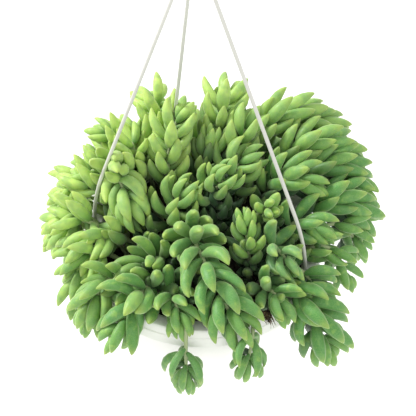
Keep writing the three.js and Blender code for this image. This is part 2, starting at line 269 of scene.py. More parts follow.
def leaf_material():
    """Fleshy green with a pale waxy grain and yellower tips, plus painted light and shade: lighter and
    yellower towards the key light, a painted sheen at the edges seen side on, and painted shade at each
    leaf's base and deep inside the plant.
    """
    material, nodes, links, shader = new_material("leaf_flesh")
    along = attribute(nodes, "along")
    painted_edge_sheen = add(nodes, "ShaderNodeLayerWeight")
    painted_edge_sheen.inputs["Blend"].default_value = 0.25
    shade = rgb(0.055, 0.25, 0.032)
    # Each coat's mask and colour. It lies over the coats before it.
    coats = (
        # Painted light: a lighter, yellower green where the key light falls.
        (attribute(nodes, "painted_sunlight"), rgb(0.6, 0.8, 0.17)),
        (attribute(nodes, "young"), rgb(0.27, 0.48, 0.08)),
        (attribute(nodes, "blue"), rgb(0.1, 0.26, 0.09)),
        (mottled(nodes, 110, 2, (0.4, 0), (0.66, 0.5))["Mask"], rgb(0.1, 0.29, 0.08)),
        (mottled(nodes, 190, 3, (0.5, 0), (0.75, 0.36))["Mask"], rgb(0.42, 0.6, 0.09)),
        # Painted shade: a darker green at each leaf's base, where the leaves overlap.
        (ramped(nodes, links, along, (0, 0.75), (0.42, 0)), rgb(0.06, 0.2, 0.05)),
        (ramped(nodes, links, along, (0.7, 0), (1, 0.6)), rgb(0.42, 0.52, 0.08)),
        (mottled(nodes, 1400, 3, (0.3, 0), (0.75, 0.34), 0.6)["Mask"], rgb(0.35, 0.54, 0.16)),
        # Painted sheen: paler towards the edges that are seen side on.
        (ramped(nodes, links, painted_edge_sheen.outputs["Facing"], (0.2, 0), (0.9, 0.5)), rgb(0.54, 0.68, 0.26)),
        # Painted shade: a near black green on leaves deep inside the plant.
        (ramped(nodes, links, attribute(nodes, "deep"), (0, 0), (0.85, 0.9)), rgb(0.006, 0.045, 0.014)),
    )
    for mask, over in coats:
        shade = mixed(nodes, links, mask, shade, over)
    links.new(shade, shader.inputs["Base Color"])
    links.new(mottled(nodes, 300, 2, (0.3, 0.46), (0.7, 0.62))["Mask"], shader.inputs["Roughness"])
    bumped(nodes, links, shader, mottled(nodes, 420, 3)["Noise"], 0.12, 0.0004)
    shader.inputs["Subsurface Weight"].default_value = 0.25
    shader.inputs["Subsurface Radius"].default_value = (0.6, 1.0, 0.25)
    shader.inputs["Subsurface Scale"].default_value = 0.003
    shader.inputs["Sheen Weight"].default_value = 0.15
    shader.inputs["Sheen Roughness"].default_value = 0.6
    shader.inputs["Sheen Tint"].default_value = rgb(0.9, 1.0, 0.85)
    return material


def stalk_material():
    material, nodes, links, shader = new_material("stalk_skin")
    patch = mottled(nodes, 260, 3)["Noise"]
    shade = mixed(nodes, links, patch, rgb(0.28, 0.4, 0.16), rgb(0.42, 0.46, 0.26))
    links.new(shade, shader.inputs["Base Color"])
    shader.inputs["Roughness"].default_value = 0.6
    return material


def plastic_material(name, clean, dull, rough):
    """Moulded plastic with faint dull patches and a fine moulded grain."""
    material, nodes, links, shader = new_material(name)
    patch = mottled(nodes, 28, 4, (0.45, 0), (0.75, 0.25))["Mask"]
    links.new(mixed(nodes, links, patch, clean, dull), shader.inputs["Base Color"])
    level = mottled(nodes, 120, 3, (0.3, rough - 0.05), (0.7, rough + 0.08))["Mask"]
    links.new(level, shader.inputs["Roughness"])
    bumped(nodes, links, shader, mottled(nodes, 2200, 2)["Noise"], 0.08, 0.0002)
    return material


def earth_material(name, dark, light, scale):
    material, nodes, links, shader = new_material(name)
    grain = mottled(nodes, scale, 6, (0.35, 0), (0.7, 1), 0.7)
    links.new(mixed(nodes, links, grain["Mask"], dark, light), shader.inputs["Base Color"])
    bumped(nodes, links, shader, grain["Noise"], 0.6, 0.001)
    shader.inputs["Roughness"].default_value = 0.9
    return material


# Making pieces


def select(*pieces):
    """Selects some pieces and nothing else. The first becomes the active one."""
    if bpy.context.object and bpy.context.object.mode != "OBJECT":
        bpy.ops.object.mode_set(mode="OBJECT")
    bpy.ops.object.select_all(action="DESELECT")
    for piece in pieces:
        piece.select_set(True)
    if pieces:
        bpy.context.view_layer.objects.active = pieces[0]


def finish_piece(piece, node_names, material=None, angle=40):
    """Puts a finished piece's place into its mesh, hangs it on the root and hides the model's parts that
    it stands in for.
    """
    select(piece)
    bpy.ops.object.transform_apply(location=True, rotation=True, scale=True)
    bpy.ops.object.shade_smooth_by_angle(angle=math.radians(angle))
    if material:
        piece.data.materials.clear()
        piece.data.materials.append(material)
    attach(piece, "root")
    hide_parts(*node_names)


def mesh_object(name, points, faces):
    mesh = bpy.data.meshes.new(name)
    mesh.from_pydata(points, [], faces)
    mesh.update()
    piece = bpy.data.objects.new(name, mesh)
    bpy.context.scene.collection.objects.link(piece)
    return piece


def at(x, y, z):
    """A place given from the middle of the lip in millimetres, in the row's own metres."""
    return Vector((RIM + np.array([x, y, z])) * MM)


def put_at(piece, x, y, z):
    """Takes a piece drawn in millimetres to metres, and to a place given from the middle of the lip."""
    piece.data.transform(Matrix.Translation(at(x, y, z)) @ Matrix.Scale(MM, 4))


def joined(pieces):
    """Joins pieces into the first one."""
    select(*pieces)
    bpy.ops.object.join()
    return pieces[0]


def taken_apart(piece):
    """A piece's points and faces. The piece itself is removed."""
    mesh = piece.data
    points = np.array([v.co[:] for v in mesh.vertices])
    faces = [tuple(p.vertices) for p in mesh.polygons]
    bpy.data.objects.remove(piece)
    bpy.data.meshes.remove(mesh)
    return points, faces


def drawn_out(name, outline, sides):
    """A closed round piece, extruded ring by ring through an outline of (radius, height) pairs.

    Its first ring is capped, and so is its last, or it ends in a point if the last radius is 0.
    """
    select()
    radius, height = outline[0]
    bpy.ops.mesh.primitive_circle_add(
        vertices=sides, radius=radius, location=(0, 0, height), fill_type="NGON"
    )
    piece = bpy.context.object
    piece.name = name
    bpy.ops.object.transform_apply(location=True, rotation=True, scale=True)
    bpy.ops.object.mode_set(mode="EDIT")
    bpy.ops.mesh.select_all(action="SELECT")
    for next_radius, next_height in outline[1:]:
        bpy.ops.mesh.extrude_region_move(TRANSFORM_OT_translate={"value": (0, 0, next_height - height)})
        if next_radius == 0:
            bpy.ops.mesh.merge(type="CENTER")
            break
        ratio = next_radius / radius
        bpy.ops.transform.resize(value=(ratio, ratio, 1), center_override=(0, 0, next_height))
        radius, height = next_radius, next_height
    bpy.ops.mesh.select_all(action="SELECT")
    bpy.ops.mesh.normals_make_consistent(inside=False)
    bpy.ops.object.mode_set(mode="OBJECT")
    return piece


def rod_piece(name, line, radii, sides, smooth=False):
    """A round rod along a line of points given from the middle of the lip, with a radius at each."""
    data = bpy.data.curves.new(name, "CURVE")
    data.dimensions = "3D"
    data.bevel_depth = MM
    data.bevel_resolution = sides // 2 - 2
    data.use_fill_caps = True
    data.resolution_u = 5
    spline = data.splines.new("BEZIER" if smooth else "POLY")
    knots = spline.bezier_points if smooth else spline.points
    knots.add(len(line) - 1)
    for knot, point, radius in zip(knots, line, radii):
        place = at(*point)
        if smooth:
            knot.co = place
            knot.handle_left_type = knot.handle_right_type = "AUTO"
        else:
            knot.co = (*place, 1)
        knot.radius = radius
    piece = bpy.data.objects.new(name, data)
    bpy.context.scene.collection.objects.link(piece)
    select(piece)
    bpy.ops.object.convert(target="MESH")
    return bpy.context.object


# A leaf's outline: shares of its length, and its width there as a share of its greatest width.
LEAF_RINGS = (
    (0.0, 0.38),
    (0.07, 0.6),
    (0.2, 0.85),
    (0.37, 0.99),
    (0.55, 0.98),
    (0.72, 0.84),
    (0.86, 0.56),
    (0.955, 0.26),
    (1.0, 0.0),
)
LEAF_SIDES = 9
HOLLOW_DEPTH = 0.76  # a leaf's depth as a share of its width, on its concave side
ROUND_DEPTH = 0.88  # and on its convex side


def modelled_leaf():
    """One straight leaf a unit long and a unit wide, drawn out from its base to a point."""
    outline = [(0.5 * width, height) for height, width in LEAF_RINGS]
    return taken_apart(drawn_out("leaf", outline, LEAF_SIDES))


def width_share(u):
    return np.interp(u, *zip(*LEAF_RINGS))


# The plant


def bezier(points, share):
    root, over, end = (np.array(p, float) for p in points)
    share = np.asarray(share)[..., None]
    return (1 - share) ** 2 * root + 2 * share * (1 - share) * over + share**2 * end


TINY = 1e-9


def unit(vectors):
    return vectors / np.maximum(np.linalg.norm(vectors, axis=-1, keepdims=True), TINY)


CURVE_STEPS = 400


def framed_line(points, count=120):
    """Evenly spaced points along a stem, with tangents and a side vector that doesn't twist."""
    raw = bezier(points, np.linspace(0, 1, CURVE_STEPS))
    steps = np.linalg.norm(np.diff(raw, axis=0), axis=1)
    run = np.concatenate([[0], np.cumsum(steps)])
    even = np.linspace(0, run[-1], count)
    line = np.stack([np.interp(even, run, raw[:, i]) for i in range(3)], axis=1)
    tangent = unit(np.gradient(line, axis=0))
    side = np.zeros_like(line)
    first = np.cross(tangent[0], (0.0, 0.0, 1.0))
    if np.linalg.norm(first) < 0.1:
        first = np.array([1.0, 0.0, 0.0])
    side[0] = unit(first)
    for i in range(1, count):
        turned = side[i - 1] - tangent[i] * np.dot(side[i - 1], tangent[i])
        side[i] = unit(turned)
    return line, tangent, side, run[-1]


GOLDEN_ANGLE = math.radians(137.508)
TIP_LENGTH = 26.0  # leaves grow to their full size over this length from the tip
TIP_STAND = 9.0  # degrees between the stem and its last leaves
OVERRUN = 1.0  # how far past the end of its stem the last leaf may stand
BASE_OUT = 1.2  # from the middle of a stem to a leaf's base
SPARSE_STEP = 3.4  # how many times wider apart the leaves are where a sprig carries few
STAND_SPREAD = 5  # degrees
TURN_SPREAD = 0.06  # radians
SIZE_SPREAD = (0.92, 1.07)


def place_leaves():
    """Every leaf of the plant: its stem, base, direction, size, bow, and how ripe and blue it is."""
    grown = []
    for index, (name, (root, over, end, bare, habit)) in enumerate(STEMS.items()):
        rng = np.random.default_rng((SEED, index))
        line, tangent, side, length = framed_line((root, over, end))
        sparse_from, sparse_to = BARE_GAPS.get(name, NO_GAP)
        turn = rng.uniform(0, 2 * math.pi)
        along = bare * length
        while along < length + OVERRUN:
            share = min(along / length, 1.0)
            i = int(round(share * (len(line) - 1)))
            axis = tangent[i]
            out = math.cos(turn) * side[i] + math.sin(turn) * np.cross(axis, side[i])
            ripe = min(1.0, (length + OVERRUN - along) / TIP_LENGTH)
            stand = TIP_STAND + (habit["stand"] - TIP_STAND) * ripe**0.6 + rng.normal(0, STAND_SPREAD)
            size = (habit["least"] + (1 - habit["least"]) * ripe**0.7) * rng.uniform(*SIZE_SPREAD)
            leaf = {
                "stem": index,
                "base": line[i] + out * BASE_OUT,
                "way": unit(math.cos(math.radians(stand)) * axis + math.sin(math.radians(stand)) * out),
                "axis": axis,
                "length": habit["length"] * size,
                "width": habit["width"] * size**0.8,
                "ripe": ripe,
                "young": habit["young"],
                "blue": habit["blue"],
                "bow": habit["bow"],
            }
            grown.append(leaf)
            step = habit["step"] * (0.55 + 0.45 * ripe)
            along += step * (SPARSE_STEP if sparse_from < share < sparse_to else 1)
            turn += GOLDEN_ANGLE + rng.normal(0, TURN_SPREAD)
    return {name: np.array([leaf[name] for leaf in grown]) for name in grown[0]}


def concave_side(leaves, way):
    """The way a leaf curls: towards the end of its stem."""
    return unit(leaves["axis"] - way * np.sum(leaves["axis"] * way, axis=1, keepdims=True) + 1e-6)


BALLS = np.array([0.3, 0.55, 0.8])  # where along a leaf its room is tested
SCREEN_BALLS = np.linspace(0.1, 0.9, 9)  # where along a leaf it may hide a strand
BALL_FIT = 0.86  # of half the leaf's width there, since a leaf is less deep than it is wide


def balls_of(leaves, way, shares):
    """Balls that fill each leaf at some shares of its length: their middles and radii."""
    curl = concave_side(leaves, way)
    reach = leaves["length"][:, None] * shares
    bow = (leaves["length"] * leaves["bow"])[:, None] * 4 * shares * (1 - shares)
    straight = leaves["base"][:, None, :] + way[:, None, :] * reach[..., None]
    centre = straight - curl[:, None, :] * bow[..., None]
    radius = 0.5 * leaves["width"][:, None] * width_share(shares) * BALL_FIT
    return centre, radius


BEND_POINTS = 13
STRAIGHT_POINTS = 9


def strand_line(side):
    """A strand's route: straight down from the hub, then bowed upright into its clip."""
    turn = math.radians(CLIP_TURNS[side])
    out = np.array([math.cos(turn), math.sin(turn), 0.0])
    top = out * HUB_CIRCLE + np.array([-RIM[0], 0.0, HUB_BOTTOM - GAP])
    foot = out * CLIP_CIRCLE + np.array([0, 0, CLIP_TOP + GAP])
    corner = foot + np.array([0, 0, BEND_CORNER])
    start = corner + (top - corner) * (BEND_START - BEND_CORNER) / (top[2] - corner[2])
    bend = bezier((start, corner, foot), np.linspace(0, 1, BEND_POINTS))
    straight = top + (start - top) * np.linspace(0, 1, STRAIGHT_POINTS)[:-1, None]
    return np.concatenate([straight, bend])


def resampled(line, start, count):
    """Close points on a line, from one of its own points to its last."""
    wanted = np.linspace(start, len(line) - 1, count)
    return np.stack([np.interp(wanted, range(len(line)), line[:, i]) for i in range(3)], axis=1)


FRONT_START = 6  # the point of a strand's line from which its front is kept clear, above all leaves
FRONT_POINTS = 160


def strand_fronts():
    """The two strands that show at the front, from above the leaves down to their feet."""
    lines = [strand_line(side) for side in ("left", "right")]
    return np.concatenate([resampled(line, FRONT_START, FRONT_POINTS) for line in lines])


LEAST_GAP = 0.1  # stands in for a smaller gap where one is divided by
FAR = 1000.0  # a gap too wide to call for a move


def cleared(centre, radius, points, room, way=None):
    """The moves that clear balls off some points or, given a way, off the lines from them along it."""
    off = centre[:, None, :] - points[None, :, :]
    if way is not None:
        ahead = off @ way
        off -= ahead[..., None] * way
    gap = np.linalg.norm(off, axis=2)
    if way is not None:
        gap[ahead < 0] = FAR
    rows = np.arange(len(centre))
    nearest = gap.argmin(axis=1)
    off, gap = off[rows, nearest], gap[rows, nearest]
    return off / np.maximum(gap, LEAST_GAP)[:, None] * np.maximum(0, radius + room - gap)[:, None]


BLOCK = 1000  # balls compared with all others at once
NEAR = 4.0  # balls with less than this between them count as neighbours


def close_pairs(centre, radius, owner):
    """Pairs of neighbouring balls that belong to different leaves."""
    found = []
    for start in range(0, len(centre), BLOCK):
        block = centre[start : start + BLOCK]
        gap = np.linalg.norm(block[:, None, :] - centre[None, :, :], axis=2)
        near = gap < radius[start : start + BLOCK, None] + radius[None, :] + NEAR
        first, second = np.nonzero(near)
        found.append(np.stack([first + start, second], axis=1))
    pairs = np.concatenate(found)
    return pairs[(pairs[:, 0] < pairs[:, 1]) & (owner[pairs[:, 0]] != owner[pairs[:, 1]])]


def part_neighbours(move, centre, radius, pairs):
    """Adds the moves that take overlapping balls apart, half to each."""
    first, second = pairs[:, 0], pairs[:, 1]
    between = centre[first] - centre[second]
    gap = np.linalg.norm(between, axis=1)
    deep = np.maximum(0, radius[first] + radius[second] - gap)
    push = between / np.maximum(gap, LEAST_GAP)[:, None] * (0.5 * deep)[:, None]
    np.add.at(move, first, push)
    np.add.at(move, second, -push)


SOIL_ROOM = 1.0
LIP_ROOM = 0.5
WALL_ROOM = 0.3
LIP_INSIDE = 86.0  # from here out a leaf lies over the lip
COLLAR_RADIUS = 90.0
LIP_DEPTH = -8.0  # above this height a leaf is lifted over the lip, and below it is moved outward


def clear_basket(move, centre, radius):
    """Adds the moves that take balls off the soil, the lip and the outside of the pot."""
    low = centre[:, 2] - radius
    flat = np.hypot(centre[:, 0], centre[:, 1])
    inside = (flat < POT_INSIDE) & (low < SOIL_TOP + SOIL_ROOM)
    move[:, 2] += np.where(inside, SOIL_TOP + SOIL_ROOM - low, 0)
    over = (flat >= LIP_INSIDE) & (flat < LIP_RADIUS) & (low < LIP_ROOM) & (centre[:, 2] > LIP_DEPTH)
    move[:, 2] += np.where(over, LIP_ROOM - low, 0)
    level = (centre[:, 2] <= LIP_DEPTH) & (centre[:, 2] > -POT_HEIGHT)
    beside = (flat < LIP_RADIUS + radius) & (flat > COLLAR_RADIUS) & level
    outward = centre[:, :2] / np.maximum(flat, 1)[:, None]
    move[:, :2] += outward * np.where(beside, LIP_RADIUS + WALL_ROOM + radius - flat, 0)[:, None]


# Openings that are kept clear of leaves on the way to the camera: a place and the room round it.
OPENINGS = (
    (-87, 16, 8, 6),
    (-92, 20, 6, 5),
    (-99, 18, 0, 5),
    (53, -88, 4, 5),
    (56, -90, 0, 5),
    (87, -37, 6, 5),
    (88, -38, 0, 5),
)
LEAVES_TOP = 120.0  # no leaf comes near a strand above this height
STRAND_POINTS = 400
FOOT_POINTS = 9  # the last points of the left strand, which are kept clear towards the key light
STRAND_ROOM = 0.3
FRONT_ROOM = 1.0
LIGHT_ROOM = 2.0


def kept_clear():
    """What the leaves are kept off: points, the room round them, and a way that is kept clear too."""
    lines = [strand_line(side) for side in CLIP_TURNS]
    strands = np.concatenate([resampled(line, 0, STRAND_POINTS) for line in lines])
    strands = strands[strands[:, 2] < LEAVES_TOP]
    foot = strand_line("left")[-FOOT_POINTS:]
    hurdles = [
        (strands, STRAND_RADIUS + STRAND_ROOM, None),
        (strand_fronts(), STRAND_RADIUS + FRONT_ROOM, FRONTWARD),
        (foot, STRAND_RADIUS + LIGHT_ROOM, unit(np.array(KEY_WAY))),
    ]
    return hurdles + [(np.array([place], float), room, FRONTWARD) for *place, room in OPENINGS]


ROUNDS = 70
SEARCH_EVERY = 8  # rounds between two searches for neighbours
EASE = 0.55  # a leaf turns by the sum of its balls' moves, divided by this share of their number
TURN_LIMIT = 0.12  # radians a round
TURN_BACK = 0.03  # the share of its turn that a leaf takes back each round


def spread_leaves(leaves):
    """Turns each leaf about its base until it has room among its neighbours, the pot and strands."""
    way = leaves["way"].copy()
    wanted = leaves["way"].copy()
    count = len(way)
    hurdles = kept_clear()
    owner = np.repeat(np.arange(count), len(BALLS))
    lever = (leaves["length"][:, None] * BALLS).ravel()
    for number in range(ROUNDS):
        centre, radius = balls_of(leaves, way, BALLS)
        centre, radius = centre.reshape(-1, 3), radius.ravel()
        if number % SEARCH_EVERY == 0:
            pairs = close_pairs(centre, radius, owner)
        move = np.zeros_like(centre)
        part_neighbours(move, centre, radius, pairs)
        clear_basket(move, centre, radius)
        for points, room, clear_way in hurdles:
            move += cleared(centre, radius, points, room, clear_way)
        turn = np.zeros((count, 3))
        np.add.at(turn, owner, move / lever[:, None])
        turn /= len(BALLS) * EASE
        turn -= way * np.sum(turn * way, axis=1, keepdims=True)
        size = np.linalg.norm(turn, axis=1, keepdims=True)
        turn *= np.minimum(1, TURN_LIMIT / np.maximum(size, TINY))
        way = unit(way + turn + TURN_BACK * (wanted - way))
    leaves["way"] = way
    # How buried each leaf is, which sets the painted shade on it.
    leaves["deep"] = buried_share(leaves, way)
    return leaves


# A leaf is left out where, seen from the front, the middle of a strand passes behind it nearer to
# its own middle than this share of its radius.
SCREEN_SHARE = 0.8


def without_screens(leaves):
    """Leaves out the few leaves that still lie across a strand as it is seen from the front."""
    centre, radius = balls_of(leaves, leaves["way"], SCREEN_BALLS)
    off = centre[:, :, None, :] - strand_fronts()
    ahead = off @ FRONTWARD
    gap = np.linalg.norm(off - ahead[..., None] * FRONTWARD, axis=3)
    hiding = ((ahead > 0) & (gap < SCREEN_SHARE * radius[..., None])).any(axis=(1, 2))
    return {name: column[~hiding] for name, column in leaves.items()}


# The numbers below set how buried a leaf counts, and so how much painted shade it gets.
CROWD_REACH = 45  # leaves further apart than this don't shade each other
OPEN_CROWD = 1.3  # what a leaf may have over it and still lie quite open
CROWD_RANGE = 6.3  # how much more than that it has over it when it is quite buried
LOW_TOP = 34  # below this height, leaves inside the lip start to count as buried
LOW_RANGE = 40  # they count in full when they are this much lower
LOW_RADIUS = 84
LOW_SHARE = 0.45


def buried_share(leaves, way):
    """How deep each leaf lies among the others, from 0 on the outside to 1, which sets how much painted
    shade it gets.
    """
    middle = leaves["base"] + way * leaves["length"][:, None] * 0.55
    outward = unit(middle - np.array([0.0, 0.0, SOIL_TOP]))
    deep = np.zeros(len(middle))
    for i, point in enumerate(middle):
        to_others = middle - point
        gap = np.linalg.norm(to_others, axis=1)
        over = (gap > 1) & (gap < CROWD_REACH) & (to_others @ outward[i] > 0.5 * gap)
        deep[i] = np.sum(1 - gap[over] / CROWD_REACH)
    within = np.hypot(middle[:, 0], middle[:, 1]) < LOW_RADIUS
    low = np.clip((LOW_TOP - middle[:, 2]) / LOW_RANGE, 0, 1) * within
    return np.clip((deep - OPEN_CROWD) / CROWD_RANGE + LOW_SHARE * low, 0, 1)


SAG_SPREAD = (0.7, 1.2)  # of its habit's bow
WIDTH_SPREAD = 0.04
SWEEP_SPREAD = 0.05  # how far a leaf's tip is swept sideways, as a share of its length


def leaf_cloud(leaves, chosen, leaf_points, rng):
    """The points of the chosen leaves, each its own bowed and slightly uneven copy of the leaf."""
    curl = concave_side(leaves, leaves["way"])
    clouds = []
    u = leaf_points[:, 2]
    for i in chosen:
        way, up = leaves["way"][i], curl[i]
        side = np.cross(up, way)
        length, width = leaves["length"][i], leaves["width"][i]
        sag = leaves["bow"][i] * rng.uniform(*SAG_SPREAD)
        slope = -sag * 4 * (1 - 2 * u)
        across = leaf_points[:, 0] * width * (1 + WIDTH_SPREAD * rng.normal())
        depth = leaf_points[:, 1] * width * np.where(leaf_points[:, 1] > 0, HOLLOW_DEPTH, ROUND_DEPTH)
        z = u * length - depth * slope / np.sqrt(1 + slope**2)
        y = -sag * 4 * u * (1 - u) * length + depth / np.sqrt(1 + slope**2)
        sweep = rng.normal(0, SWEEP_SPREAD) * length * u**2
        x = across + sweep
        clouds.append(leaves["base"][i] + x[:, None] * side + y[:, None] * up + z[:, None] * way)
    return clouds


STALK_POINTS = 48
STALK_RADIUS = 2.3
STALK_TAPER = 1.1  # how much slimmer a stalk is at its tip
SCAR_HEIGHT = 0.14
SCAR_TURNS = 1.1  # radians of the rings' wave a millimetre
STALK_SIDES = 8
STALK_DEPTH = 4  # how far a stalk goes on into the soil


def stalk_piece(points):
    """A fleshy stalk that starts in the soil, slimmer towards its tip and ringed by old leaf scars."""
    line, _, _, length = framed_line(points, STALK_POINTS)
    line[0, 2] -= STALK_DEPTH
    share = np.linspace(0, 1, STALK_POINTS)
    radii = STALK_RADIUS - STALK_TAPER * share + SCAR_HEIGHT * np.sin(share * length * SCAR_TURNS)
    return rod_piece("stalk", line, radii, STALK_SIDES)


def store(mesh, name, values):
    layer = mesh.attributes.new(name, "FLOAT", "POINT")
    layer.data.foreach_set("value", np.asarray(values, np.float32))


def make_plant():
    rng = np.random.default_rng(SEED)
    leaf_points, leaf_faces = modelled_leaf()
    leaves = without_screens(spread_leaves(place_leaves()))
    flesh, skin = leaf_material(), stalk_material()
    x, y, z = leaves["base"].T
    # Painted light: leaves are made lighter and yellower towards the left, the back and the top, where
    # the key light falls, and those at the tips are young.
    painted_sunlight = 0.16 - 0.0054 * x + 0.0056 * y + 0.0038 * z
    painted_sunlight = np.clip(painted_sunlight + rng.normal(0, 0.12, len(painted_sunlight)), 0, 1)
    young = np.maximum(leaves["young"], 0.7 * (1 - leaves["ripe"]))
    # Painted shade deep among the leaves, weaker where the painted light is strong.
    deep = leaves["deep"] * (1 - 0.75 * painted_sunlight)
    columns = {"painted_sunlight": painted_sunlight, "young": young, "blue": leaves["blue"], "deep": deep}
    for index, (name, (root, over, end, _, _)) in enumerate(STEMS.items()):
        chosen = np.nonzero(leaves["stem"] == index)[0]
        clouds = leaf_cloud(leaves, chosen, leaf_points, rng)
        size = len(leaf_points)
        faces = [tuple(v + k * size for v in face) for k in range(len(chosen)) for face in leaf_faces]
        piece = mesh_object("leafy_" + name, (np.concatenate(clouds) + RIM) * MM, faces)
        store(piece.data, "along", np.tile(leaf_points[:, 2], len(chosen)))
        for label, column in columns.items():
            store(piece.data, label, np.repeat(column[chosen], size))
        piece.data.materials.append(flesh)
        stalk = stalk_piece((root, over, end))
        stalk.data.materials.append(skin)
        joined([piece, stalk])
        finish_piece(piece, ["stem_" + name], angle=60)


# The basket: its pot, soil, strands, clips and hook

POT_SIDES = 96
CLIP_HOLE_RADIUS = 2.4
DRAIN_HOLE_RADIUS = 3.5
DRAIN_CIRCLE = 38
DRAIN_DEPTH = -115
HOLE_SIDES = 24
# The pot's section as (radius, height), from the middle of its underside, round the
# skirt and the lip, to the middle of its floor.
POT_OUTLINE = (
    (40, -116),
    (57, -116),
    (59.4, -117.4),
    (60.6, -118),
    (65, -118),
    (66.2, -117.4),
    (67, -115),
    (74.2, -85.4),
    (81.4, -55.8),
    (88.9, -25),
    (89.6, -19),
    (90.3, -3.4),
    (91, -3),
    (98, -3),
    (98.6, -3.6),
    (99.2, -20.6),
    (99.6, -21),
    (100.6, -21),
    (101, -20.6),
    (101.2, -12),
    (101.9, -11.3),
    (102, -10.9),
    (102, -9.6),
    (101.9, -9.2),
    (101.25, -8.6),
    (101.35, -2.4),
    (101, -0.9),
    (100.2, -0.1),
    (99.4, 0),
    (90.4, 0),
    (89.3, -0.4),
    (88.4, -1.6),
    (87.1, -24),
    (76, -69),
    (65.4, -112.4),
    (64.4, -113.7),
    (62.6, -114),
    (40, -114),
)


def pierced(piece, places, radius, height, depth=12):
    """Cuts a round hole straight down through a piece at each (x, y)."""
    cutters = []
    select()
    for x, y in places:
        bpy.ops.mesh.primitive_cylinder_add(
            vertices=HOLE_SIDES, radius=radius * MM, depth=depth * MM, location=at(x, y, height)
        )
        cutters.append(bpy.context.object)
    cutter = joined(cutters)
    modifier = piece.modifiers.new("holes", "BOOLEAN")
    modifier.object = cutter
    select(piece)
    bpy.ops.object.modifier_apply(modifier="holes")
    bpy.data.objects.remove(cutter)


def around(degrees, radius):
    turn = math.radians(degrees)
    return radius * math.cos(turn), radius * math.sin(turn)


def make_pot(plastic):
    pot = drawn_out("basket_pot", POT_OUTLINE, POT_SIDES)
    pot.scale = (MM, MM, MM)
    pot.location = at(0, 0, 0)
    select(pot)
    bpy.ops.object.transform_apply(location=True, rotation=True, scale=True)
    pierced(pot, [around(turn, CLIP_CIRCLE) for turn in CLIP_TURNS.values()], CLIP_HOLE_RADIUS, -1.5, 8)
    drains = [(0, 0)] + [around(60 * i + 30, DRAIN_CIRCLE) for i in range(6)]
    pierced(pot, drains, DRAIN_HOLE_RADIUS, DRAIN_DEPTH)
    finish_piece(pot, ["pot"], plastic, angle=35)


def scattered(shape, count, places, sizes, rng):
    """Points and faces of many copies of a small shape, each turned and squashed its own way."""
    points, faces = shape
    clouds, rings = [], []
    for i in range(count):
        turn = Vector(rng.normal(size=3)).to_track_quat("Z", "Y").to_matrix()
        squash = sizes[i] * rng.uniform(0.7, 1.3, 3)
        clouds.append(places[i] + (points * squash) @ np.array(turn).T)
        rings += [tuple(v + i * len(points) for v in face) for face in faces]
    return np.concatenate(clouds), rings


CRUMB_FACES = 20


def crumb_shape():
    """A small rough lump with CRUMB_FACES faces."""
    select()
    bpy.ops.mesh.primitive_ico_sphere_add(subdivisions=1, radius=1)
    return taken_apart(bpy.context.object)


SOIL_SIDES = 72
CRUMBS = 420
PALE_CRUMBS = 46
CRUMB_CIRCLE = 83
CRUMB_HEIGHTS = (-10.6, -8.6)
HEAP_HEIGHT = 2.2
HEAP_FADE = 12  # the heaps level out over this distance from the wall
HEAP_BOTTOM = -20  # below this height the soil follows the wall
# The soil's section as (radius, height), from the floor up the wall and in to the middle.
SOIL_OUTLINE = (
    (64.1, -113.5),
    (86.6, -24),
    (87.6, -8),
    (87, -4.2),
    (84.5, -5.6),
    (79, -9),
    (70, -10),
    (62, -10),
    (54, -10),
    (46, -10),
    (38, -10),
    (30, -10),
    (22, -10),
    (14, -10),
    (6, -10),
)


def make_soil(earth, grit):
    """Potting mix, heaped unevenly, with loose crumbs and a few pale grains on top."""
    rng = np.random.default_rng(SEED + 1)
    soil = drawn_out("potting_mix", SOIL_OUTLINE, SOIL_SIDES)
    for vertex in soil.data.vertices:
        if vertex.co.z > HEAP_BOTTOM:
            rough = noise.fractal(vertex.co * 0.07, 0.8, 2.0, 4)
            inside = min(1.0, (POT_INSIDE - math.hypot(vertex.co.x, vertex.co.y)) / HEAP_FADE)
            vertex.co.z += HEAP_HEIGHT * rough * inside
    put_at(soil, 0, 0, 0)
    soil.data.materials.append(earth)
    flat = CRUMB_CIRCLE * np.sqrt(rng.uniform(0, 1, CRUMBS))
    turn = rng.uniform(0, 2 * math.pi, CRUMBS)
    height = rng.uniform(*CRUMB_HEIGHTS, CRUMBS)
    places = np.stack([flat * np.cos(turn), flat * np.sin(turn), height], axis=1)
    points, faces = scattered(crumb_shape(), CRUMBS, places, rng.uniform(0.7, 2.1, CRUMBS), rng)
    crumbs = mesh_object("crumbs", (points + RIM) * MM, faces)
    crumbs.data.materials.append(earth)
    crumbs.data.materials.append(grit)
    for face in crumbs.data.polygons[-CRUMB_FACES * PALE_CRUMBS :]:
        face.material_index = 1
    joined([soil, crumbs])
    finish_piece(soil, ["soil"])


STRAND_END_RADIUS = 2.1
STRAND_SIDES = 14
NIB_POINT = -7  # the point of the left strand's line that the nib grows from


def make_strand(side, plastic):
    """A moulded strand, thicker at both ends. The left one has a nib of flash near its foot."""
    line = strand_line(side)
    radii = np.full(len(line), STRAND_RADIUS)
    radii[[0, -1]] = STRAND_END_RADIUS
    strand = rod_piece("moulded_strand_" + side, line, radii, STRAND_SIDES)
    if side == "left":
        root = line[NIB_POINT] + np.array([0.4, 0, -0.6])
        outward = np.array([(0, 0, 0), (-2.2, -0.4, 1.6), (-4.4, -0.8, 1.7)])
        nib = rod_piece("nib", root + outward, (1.3, 1.1, 0.25), 10)
        joined([strand, nib])
    finish_piece(strand, ["strand_" + side], plastic)


CLIP_SIDES = 28
